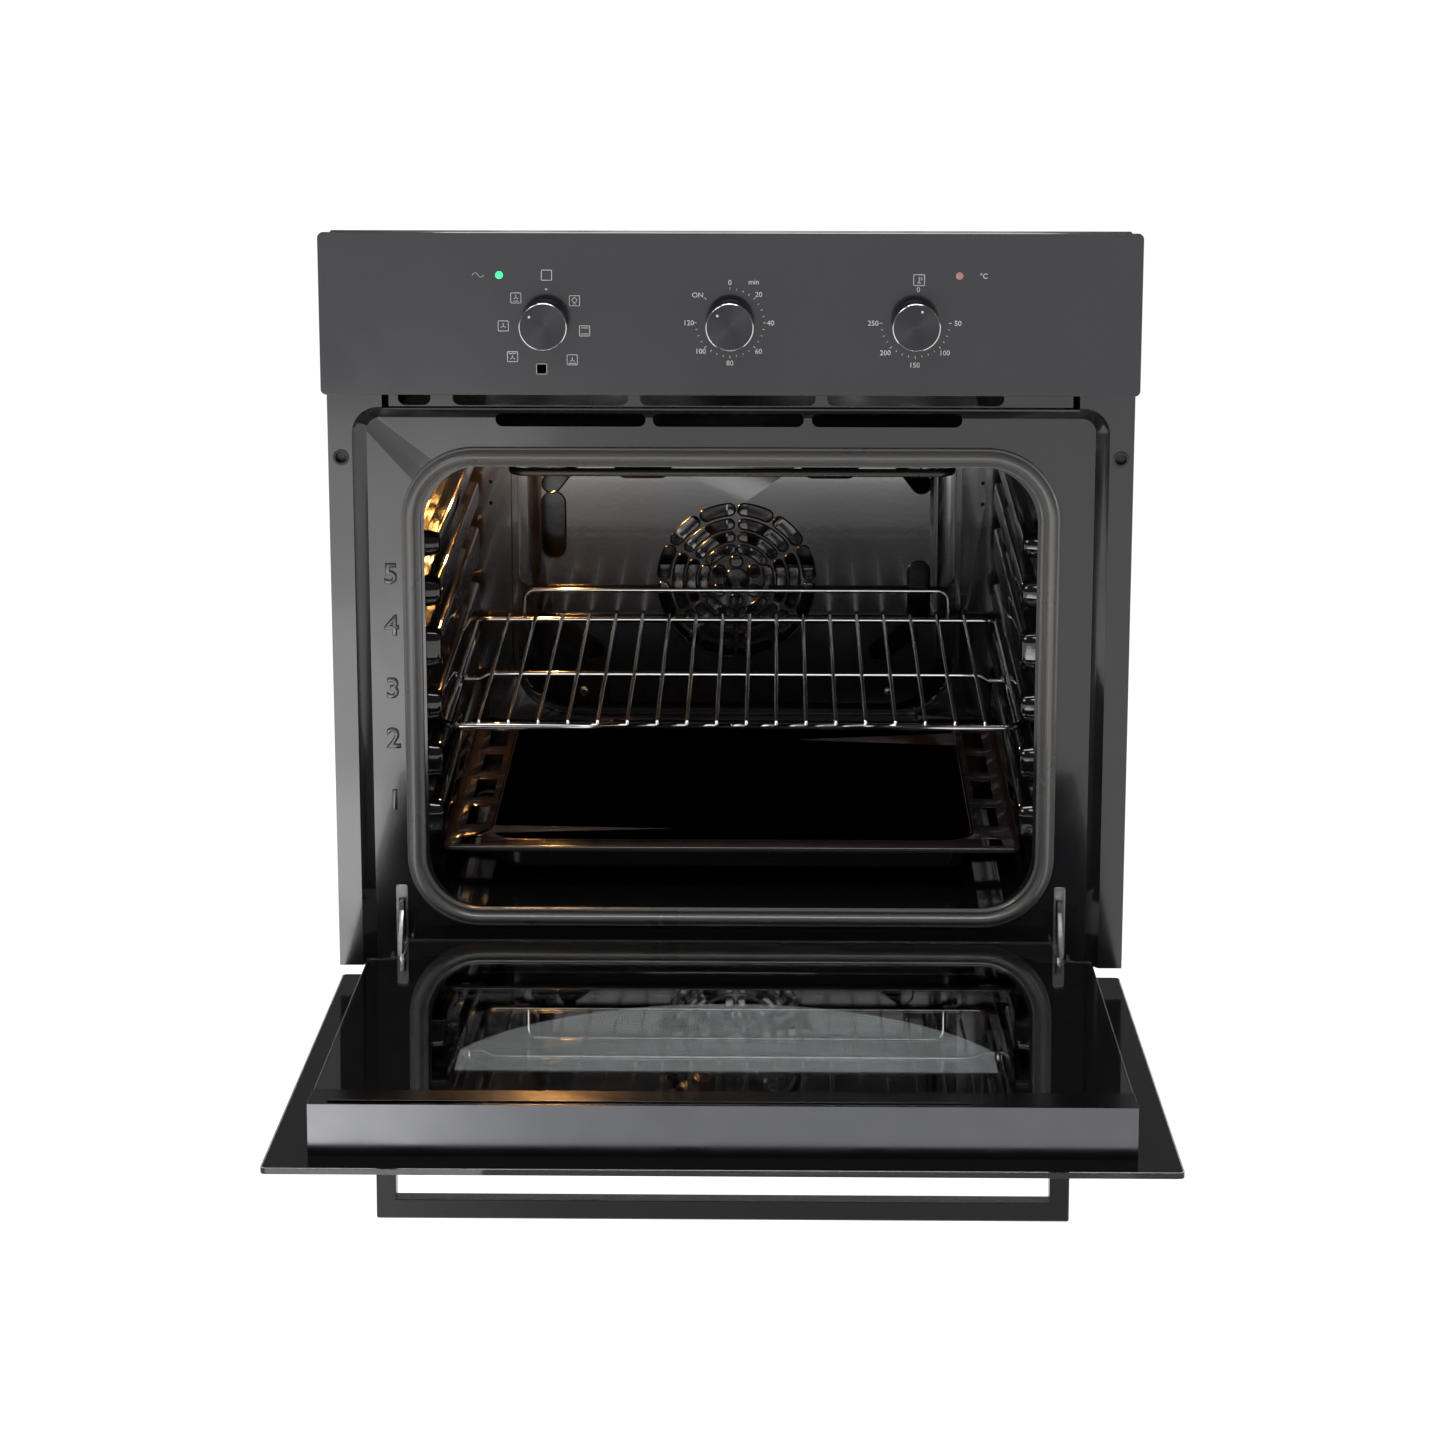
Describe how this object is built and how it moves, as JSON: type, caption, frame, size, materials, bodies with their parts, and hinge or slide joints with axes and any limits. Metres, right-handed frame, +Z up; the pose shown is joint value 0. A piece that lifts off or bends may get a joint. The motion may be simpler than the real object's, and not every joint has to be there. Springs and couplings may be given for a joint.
{
  "type": "built-in wall oven",
  "caption": "Built-in electric oven with a drop-down glass door, three control knobs, a wire shelf and a baking tray in an enamelled cavity.",
  "frame": {"origin": "centre of the base plate's flat underside", "axes": "+Z up, +Y from the door towards the back cover, +X to the right as seen from the front"},
  "size_m": [0.595, 0.9935, 0.5995],
  "materials": {
    "enamel": "glossy black vitreous enamel",
    "cavity_enamel": "glossy dark vitreous enamel",
    "panel_glass": "polished black glass",
    "door_glass": "polished black-bordered glass",
    "inner_pane": "polished clear glass with a black border",
    "mid_pane": "clear coated glass",
    "galvanised": "galvanised sheet",
    "black_sheet": "satin black paint",
    "trim": "satin black",
    "knob": "dark anodised, spun face",
    "handle": "dark anodised, satin",
    "shaft_steel": "bright drawn",
    "hinge_steel": "zinc plated",
    "chrome_wire": "bright chrome plate",
    "tray_enamel": "glossy black vitreous enamel",
    "seal": "grey silicone",
    "wool": "glass wool",
    "heater_steel": "oxidised stainless sheath",
    "socket_ceramic": "white steatite",
    "lamp_glass": "pressed clear glass",
    "bulb_glass": "clear glass, lit",
    "blower_alu": "pressed sheet",
    "motor_steel": "laminated steel",
    "fan_steel": "aluminised sheet",
    "switch_plastic": "light grey moulding",
    "terminal_plastic": "black moulding",
    "power_lens": "clear green, lit",
    "heating_lens": "clear red, unlit",
    "screw_steel": "dark zinc"
  },
  "bodies": {
    "oven_body": {"base_plate": "galvanised", "side_panel_left": "galvanised", "side_panel_right": "galvanised", "top_cover": "galvanised", "back_cover": "galvanised", "front_frame": "enamel", "vent_strip": "enamel", "cavity_floor": "cavity_enamel", "cavity_roof": "cavity_enamel", "cavity_side_left": "cavity_enamel", "cavity_side_right": "cavity_enamel", "cavity_back": "cavity_enamel", "fan_cover": "cavity_enamel", "fan_cover_screws": "screw_steel", "door_gasket": "seal", "grill_element": "heater_steel", "bottom_element": "heater_steel", "bottom_shield": "galvanised", "lamp_socket": "socket_ceramic", "lamp_bulb": "bulb_glass", "lamp_lens": "lamp_glass", "sensor_probe": "shaft_steel", "insulation": "wool", "exhaust_duct": "galvanised", "blower_motor": "motor_steel", "thermal_cutout": "socket_ceramic", "fan_motor": "motor_steel", "terminal_block": "terminal_plastic", "fascia_glass": "panel_glass", "fascia_carrier": "black_sheet", "selector_switch": "switch_plastic", "timer": "switch_plastic", "thermostat": "switch_plastic", "power_lens": "power_lens", "heating_lens": "heating_lens", "hinge_receiver_left": "hinge_steel", "hinge_receiver_right": "hinge_steel", "hinge_arm_left": "hinge_steel", "hinge_arm_right": "hinge_steel"},
    "door": {"outer_glass": "door_glass", "door_carrier": "black_sheet", "top_trim": "trim", "mid_glass": "mid_pane", "inner_glass": "inner_pane", "glass_brackets": "trim", "hinge_body_left": "hinge_steel", "hinge_body_right": "hinge_steel", "handle": "handle", "handle_screws": "screw_steel"},
    "shelf": {"wire_shelf": "chrome_wire"},
    "tray": {"baking_tray": "tray_enamel"},
    "selector": {"selector_knob": "knob", "selector_shaft": "shaft_steel"},
    "timer_control": {"timer_knob": "knob", "timer_shaft": "shaft_steel"},
    "thermostat_control": {"thermostat_knob": "knob", "thermostat_shaft": "shaft_steel"},
    "hot_air_fan": {"fan_wheel": "fan_steel"},
    "cooling_fan": {"blower_wheel": "blower_alu"}
  },
  "joints": [
    {"name": "door_hinge", "type": "hinge", "parent": "oven_body", "child": "door", "pos_m": [0, -0.2954, 0.0396], "axis": [-1, 0, 0], "range_deg": [0, 86.2]},
    {"name": "shelf_slide", "type": "slide", "parent": "oven_body", "child": "shelf", "axis": [0, 1, 0], "range_m": [-0.25, 0]},
    {"name": "tray_slide", "type": "slide", "parent": "oven_body", "child": "tray", "axis": [0, 1, 0], "range_m": [-0.25, 0]},
    {"name": "selector_turn", "type": "hinge", "parent": "oven_body", "child": "selector", "pos_m": [-0.1341, -0.321, 0.5345], "axis": [0, 1, 0], "continuous": true},
    {"name": "timer_turn", "type": "hinge", "parent": "oven_body", "child": "timer_control", "pos_m": [0, -0.321, 0.5345], "axis": [0, 1, 0], "range_deg": [0, 315]},
    {"name": "thermostat_turn", "type": "hinge", "parent": "oven_body", "child": "thermostat_control", "pos_m": [0.1341, -0.321, 0.5345], "axis": [0, 1, 0], "range_deg": [-19, 261]},
    {"name": "hot_air_fan_spin", "type": "hinge", "parent": "oven_body", "child": "hot_air_fan", "pos_m": [0, 0.17, 0.2345], "axis": [0, 1, 0], "continuous": true},
    {"name": "cooling_fan_spin", "type": "hinge", "parent": "oven_body", "child": "cooling_fan", "pos_m": [0, -0.0218, 0.45], "axis": [0, 0, 1], "continuous": true}
  ]
}
